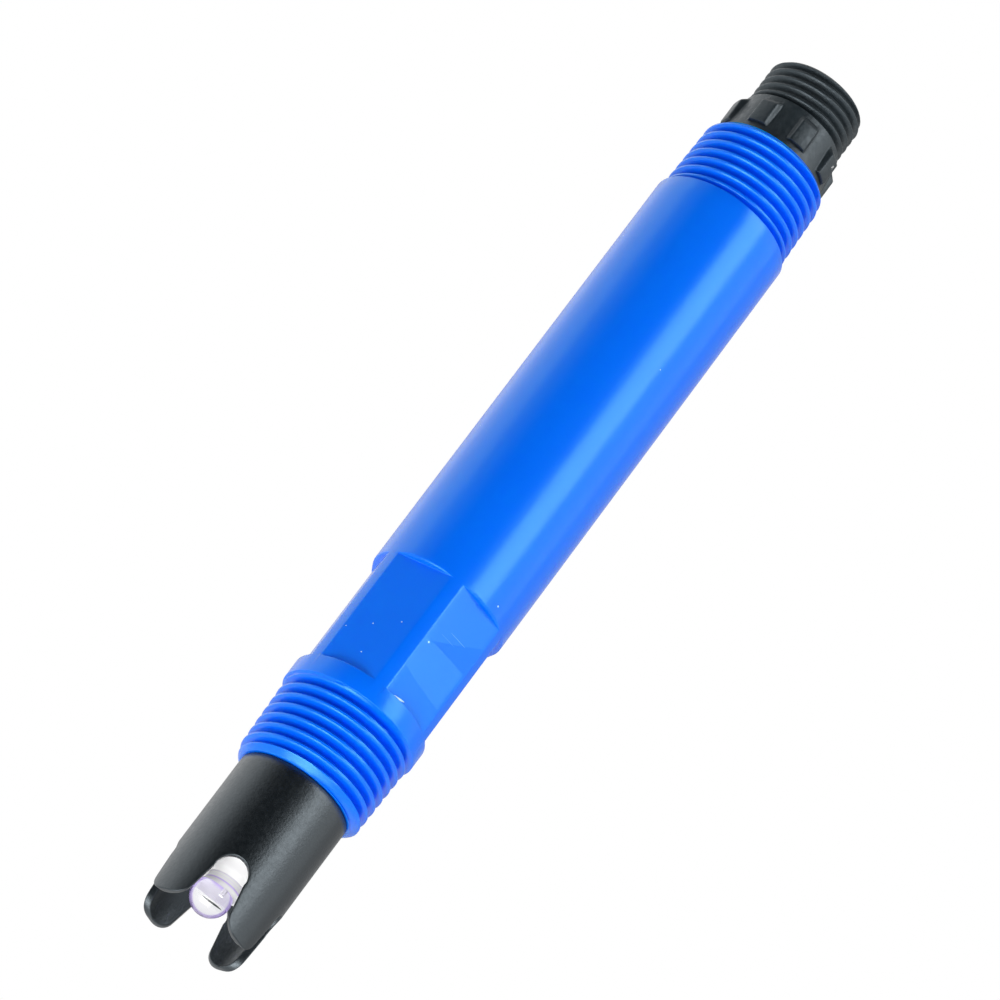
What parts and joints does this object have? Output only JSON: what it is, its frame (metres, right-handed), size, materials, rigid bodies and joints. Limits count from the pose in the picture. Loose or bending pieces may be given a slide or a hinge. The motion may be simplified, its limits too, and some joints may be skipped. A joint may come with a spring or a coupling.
{
  "type": "ph sensor",
  "caption": "Screw-in pH sensor with a threaded blue body, wrench flats, a slotted black tip guard round a glass bulb and a threaded plug connector.",
  "frame": {"origin": "on the sensor's axis, level with the lower face of the collar that the lower pipe thread ends at", "axes": "+Z along the axis from the glass bulb to the connector, -Y the side that faces the viewer, +X to the viewer's right"},
  "size_m": [0.022, 0.022, 0.1644],
  "materials": {
    "body_blue": "smooth moulded blue plastic with a soft sheen",
    "guard_black": "black moulded plastic, satin",
    "connector_black": "black moulded plastic, satin with a fine texture",
    "clear_glass": "clear blown glass with a lavender tint",
    "junction_white": "white porous plastic",
    "seal_rubber": "matt black rubber",
    "silver_wire": "drawn silver wire",
    "element_ceramic": "pale sheathed element",
    "plug_plastic": "grey moulded plastic",
    "potting_resin": "cast resin",
    "lead_insulation": "insulated lead",
    "insert_plastic": "black moulded plastic",
    "contact_gold": "gold-plated brass"
  },
  "bodies": {
    "root": {"sensor_body": "body_blue", "tip_guard": "guard_black", "glass_electrode": "clear_glass", "reference_junction": "junction_white", "junction_oring": "seal_rubber", "guard_oring_lower": "seal_rubber", "guard_oring_upper": "seal_rubber", "stem_stopper": "seal_rubber", "measuring_wire": "silver_wire", "reference_wire": "silver_wire", "temperature_element": "element_ceramic", "chamber_plug": "plug_plastic", "potting": "potting_resin", "measuring_lead": "lead_insulation", "reference_lead": "lead_insulation", "temperature_lead_1": "lead_insulation", "temperature_lead_2": "lead_insulation", "connector_shell": "connector_black", "connector_oring": "seal_rubber", "connector_insert": "insert_plastic", "contact_1": "contact_gold", "contact_2": "contact_gold", "contact_3": "contact_gold", "contact_4": "contact_gold"}
  },
  "joints": []
}
